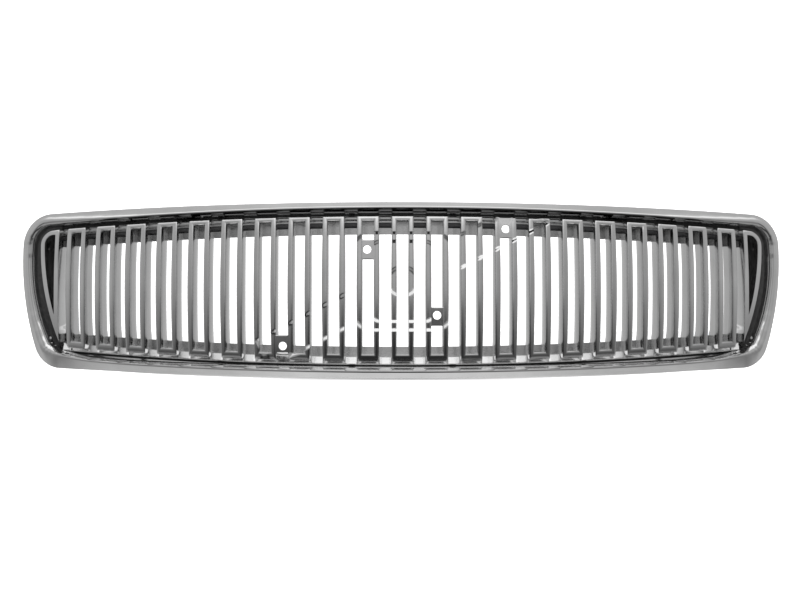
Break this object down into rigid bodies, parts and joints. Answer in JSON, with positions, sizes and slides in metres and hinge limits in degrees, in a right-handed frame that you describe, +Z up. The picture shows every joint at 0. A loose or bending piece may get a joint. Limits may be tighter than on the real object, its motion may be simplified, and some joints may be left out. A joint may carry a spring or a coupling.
{
  "type": "front grille",
  "caption": "Bowed chromed front grille: rounded trapezoid surround, upright slat loops on two rails, slanted emblem seat with stud holes, quarter-turn top studs.",
  "frame": {"origin": "centre of the grille's envelope", "axes": "+X to the right for someone facing the front, +Y from the front to the engine bay, +Z up"},
  "size_m": [0.7702, 0.1238, 0.1684],
  "materials": {
    "surround_chrome": "bright plated plastic",
    "insert_chrome": "bright plated plastic, slightly greyer",
    "screw_steel": "zinc plated",
    "stud_plastic": "moulded black nylon",
    "ring_steel": "spring steel"
  },
  "bodies": {
    "grille": {"surround": "surround_chrome", "loop_01": "insert_chrome", "loop_02": "insert_chrome", "loop_03": "insert_chrome", "loop_04": "insert_chrome", "loop_05": "insert_chrome", "loop_06": "insert_chrome", "loop_07": "insert_chrome", "loop_08": "insert_chrome", "loop_09": "insert_chrome", "loop_10": "insert_chrome", "loop_11": "insert_chrome", "loop_12": "insert_chrome", "loop_13": "insert_chrome", "loop_14": "insert_chrome", "loop_15": "insert_chrome", "loop_16": "insert_chrome", "loop_17": "insert_chrome", "loop_18": "insert_chrome", "loop_19": "insert_chrome", "loop_20": "insert_chrome", "loop_21": "insert_chrome", "end_loop_left": "insert_chrome", "end_loop_right": "insert_chrome", "top_rail": "insert_chrome", "bottom_rail": "insert_chrome", "badge_tab_upper": "insert_chrome", "badge_tab_lower": "insert_chrome", "strip_tab_lower": "insert_chrome", "strip_tab_upper": "insert_chrome", "rail_screws": "screw_steel"},
    "lock_left": {"turn_stud_left": "stud_plastic", "stud_ring_left": "ring_steel"},
    "lock_right": {"turn_stud_right": "stud_plastic", "stud_ring_right": "ring_steel"}
  },
  "joints": [
    {"name": "lock_left_turn", "type": "hinge", "parent": "grille", "child": "lock_left", "pos_m": [-0.214, 0.01954, 0.077], "axis": [0, 0, 1], "range_deg": [0, 90]},
    {"name": "lock_right_turn", "type": "hinge", "parent": "grille", "child": "lock_right", "pos_m": [0.214, 0.01954, 0.077], "axis": [0, 0, -1], "range_deg": [0, 90]}
  ]
}
